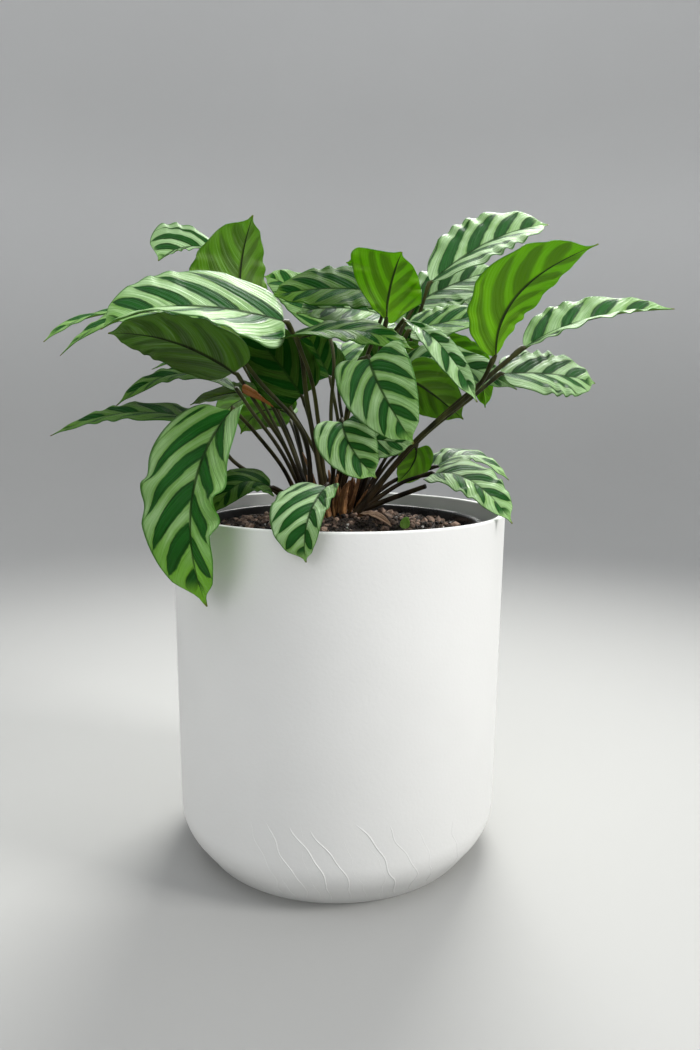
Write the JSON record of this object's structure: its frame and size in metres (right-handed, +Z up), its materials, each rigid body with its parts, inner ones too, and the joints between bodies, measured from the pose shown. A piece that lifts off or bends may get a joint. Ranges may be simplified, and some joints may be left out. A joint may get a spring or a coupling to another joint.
{
  "type": "potted calathea",
  "caption": "Striped-leaf calathea house plant in a black nursery pot, standing inside a plain off-white cylindrical planter with a bevelled foot.",
  "frame": {"origin": "centre of the planter's flat underside", "axes": "+Z up along the planter's axis, +X to the right and +Y away as the plant is seen from its fullest side"},
  "size_m": [0.4734, 0.346, 0.5],
  "materials": {
    "planter": "matte off-white with a faint orange peel",
    "nursery_plastic": "black, satin",
    "potting_mix": "rough crumbs of bark and peat",
    "leaf": "waxy, striped dark and silvery green",
    "stem": "satin, dark olive",
    "dry_leaf": "papery, withered",
    "sprout": "soft, light green"
  },
  "bodies": {
    "root": {"cover_pot": "planter", "dry_leaf": "dry_leaf", "fallen_scrap": "dry_leaf", "leaf_back_1": "leaf", "leaf_back_2": "leaf", "leaf_back_3": "leaf", "leaf_back_4": "leaf", "leaf_back_5": "leaf", "leaf_front_1": "leaf", "leaf_front_2": "leaf", "leaf_front_3": "leaf", "leaf_front_4": "leaf", "leaf_front_5": "leaf", "leaf_front_6": "leaf", "leaf_front_7": "leaf", "leaf_left_1": "leaf", "leaf_left_10": "leaf", "leaf_left_11": "leaf", "leaf_left_12": "leaf", "leaf_left_13": "leaf", "leaf_left_2": "leaf", "leaf_left_3": "leaf", "leaf_left_4": "leaf", "leaf_left_5": "leaf", "leaf_left_6": "leaf", "leaf_left_7": "leaf", "leaf_left_8": "leaf", "leaf_left_9": "leaf", "leaf_mid_1": "leaf", "leaf_mid_2": "leaf", "leaf_mid_3": "leaf", "leaf_mid_4": "leaf", "leaf_mid_5": "leaf", "leaf_right_1": "leaf", "leaf_right_10": "leaf", "leaf_right_11": "leaf", "leaf_right_12": "leaf", "leaf_right_13": "leaf", "leaf_right_14": "leaf", "leaf_right_15": "leaf", "leaf_right_2": "leaf", "leaf_right_3": "leaf", "leaf_right_4": "leaf", "leaf_right_5": "leaf", "leaf_right_6": "leaf", "leaf_right_7": "leaf", "leaf_right_8": "leaf", "leaf_right_9": "leaf", "nursery_pot": "nursery_plastic", "shoot_back": "stem", "shoot_far_right": "stem", "shoot_front": "stem", "shoot_left": "stem", "shoot_left_back": "stem", "shoot_left_front": "stem", "shoot_middle": "stem", "shoot_right": "stem", "shoot_right_back": "stem", "soil": "potting_mix", "sprout": "sprout"}
  },
  "joints": []
}
